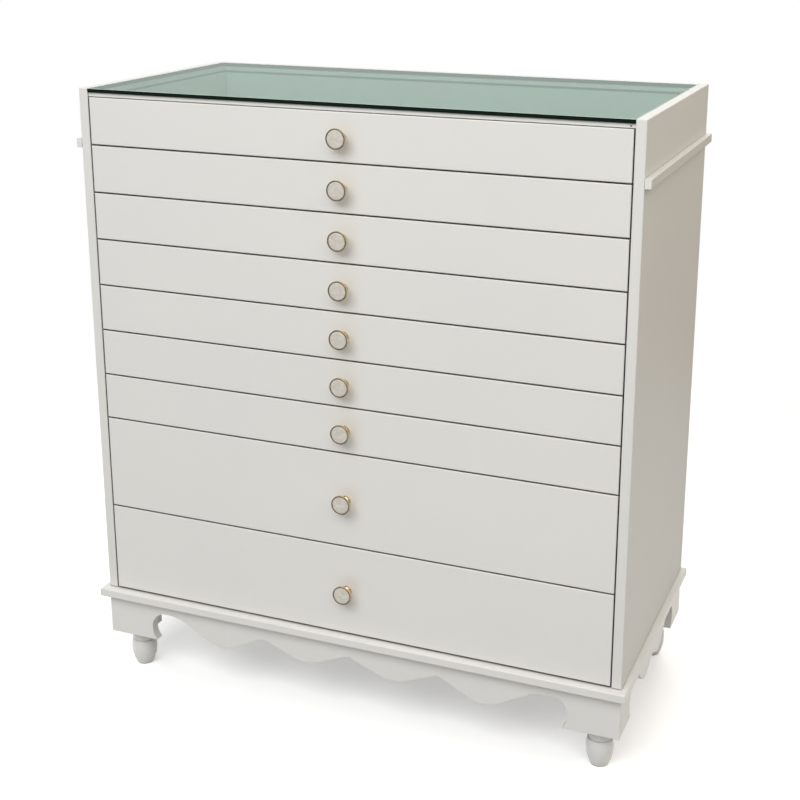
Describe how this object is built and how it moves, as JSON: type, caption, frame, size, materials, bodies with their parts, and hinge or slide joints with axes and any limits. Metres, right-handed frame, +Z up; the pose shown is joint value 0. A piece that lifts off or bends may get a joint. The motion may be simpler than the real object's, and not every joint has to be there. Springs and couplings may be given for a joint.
{
  "type": "jewelry drawer cabinet",
  "caption": "White lacquered jewelry drawer cabinet with a glass top, scalloped aprons, turned feet and round brass knobs with pearl inlays",
  "frame": {"origin": "on the floor under the middle of the cabinet's outer box", "axes": "+Z up, +X to the right seen from the front, +Y to the back"},
  "size_m": [0.889, 0.444, 0.976],
  "materials": {
    "white_lacquer": "satin white lacquer over board",
    "glass": "clear float glass with polished edges",
    "brass": "polished brass",
    "pearl": "glossy mother of pearl",
    "velvet": "pale velvet",
    "hardwood": "waxed hardwood"
  },
  "bodies": {
    "cabinet": {"side_panel_left": "white_lacquer", "side_panel_right": "white_lacquer", "back_panel": "white_lacquer", "back_rail": "white_lacquer", "trim_strips": "white_lacquer", "top_rail": "white_lacquer", "glass_ledges": "white_lacquer", "glass_top": "glass", "base_board": "white_lacquer", "apron_front": "white_lacquer", "apron_left": "white_lacquer", "apron_right": "white_lacquer", "apron_back": "white_lacquer", "turned_feet": "white_lacquer", "drawer_runners": "hardwood"},
    "drawer_1": {"drawer_1_front": "white_lacquer", "drawer_1_box": "white_lacquer", "drawer_1_liner": "velvet", "drawer_1_knob": "brass", "drawer_1_knob_inlay": "pearl"},
    "drawer_2": {"drawer_2_front": "white_lacquer", "drawer_2_box": "white_lacquer", "drawer_2_liner": "velvet", "drawer_2_knob": "brass", "drawer_2_knob_inlay": "pearl"},
    "drawer_3": {"drawer_3_front": "white_lacquer", "drawer_3_box": "white_lacquer", "drawer_3_liner": "velvet", "drawer_3_knob": "brass", "drawer_3_knob_inlay": "pearl"},
    "drawer_4": {"drawer_4_front": "white_lacquer", "drawer_4_box": "white_lacquer", "drawer_4_liner": "velvet", "drawer_4_knob": "brass", "drawer_4_knob_inlay": "pearl"},
    "drawer_5": {"drawer_5_front": "white_lacquer", "drawer_5_box": "white_lacquer", "drawer_5_liner": "velvet", "drawer_5_knob": "brass", "drawer_5_knob_inlay": "pearl"},
    "drawer_6": {"drawer_6_front": "white_lacquer", "drawer_6_box": "white_lacquer", "drawer_6_liner": "velvet", "drawer_6_knob": "brass", "drawer_6_knob_inlay": "pearl"},
    "drawer_7": {"drawer_7_front": "white_lacquer", "drawer_7_box": "white_lacquer", "drawer_7_liner": "velvet", "drawer_7_knob": "brass", "drawer_7_knob_inlay": "pearl"},
    "drawer_8": {"drawer_8_front": "white_lacquer", "drawer_8_box": "white_lacquer", "drawer_8_liner": "velvet", "drawer_8_knob": "brass", "drawer_8_knob_inlay": "pearl"},
    "drawer_9": {"drawer_9_front": "white_lacquer", "drawer_9_box": "white_lacquer", "drawer_9_liner": "velvet", "drawer_9_knob": "brass", "drawer_9_knob_inlay": "pearl"}
  },
  "joints": [
    {"name": "drawer_1_slide", "type": "slide", "parent": "cabinet", "child": "drawer_1", "axis": [0, -1, 0], "range_m": [0, 0.3]},
    {"name": "drawer_2_slide", "type": "slide", "parent": "cabinet", "child": "drawer_2", "axis": [0, -1, 0], "range_m": [0, 0.3]},
    {"name": "drawer_3_slide", "type": "slide", "parent": "cabinet", "child": "drawer_3", "axis": [0, -1, 0], "range_m": [0, 0.3]},
    {"name": "drawer_4_slide", "type": "slide", "parent": "cabinet", "child": "drawer_4", "axis": [0, -1, 0], "range_m": [0, 0.3]},
    {"name": "drawer_5_slide", "type": "slide", "parent": "cabinet", "child": "drawer_5", "axis": [0, -1, 0], "range_m": [0, 0.3]},
    {"name": "drawer_6_slide", "type": "slide", "parent": "cabinet", "child": "drawer_6", "axis": [0, -1, 0], "range_m": [0, 0.3]},
    {"name": "drawer_7_slide", "type": "slide", "parent": "cabinet", "child": "drawer_7", "axis": [0, -1, 0], "range_m": [0, 0.3]},
    {"name": "drawer_8_slide", "type": "slide", "parent": "cabinet", "child": "drawer_8", "axis": [0, -1, 0], "range_m": [0, 0.3]},
    {"name": "drawer_9_slide", "type": "slide", "parent": "cabinet", "child": "drawer_9", "axis": [0, -1, 0], "range_m": [0, 0.3]}
  ]
}
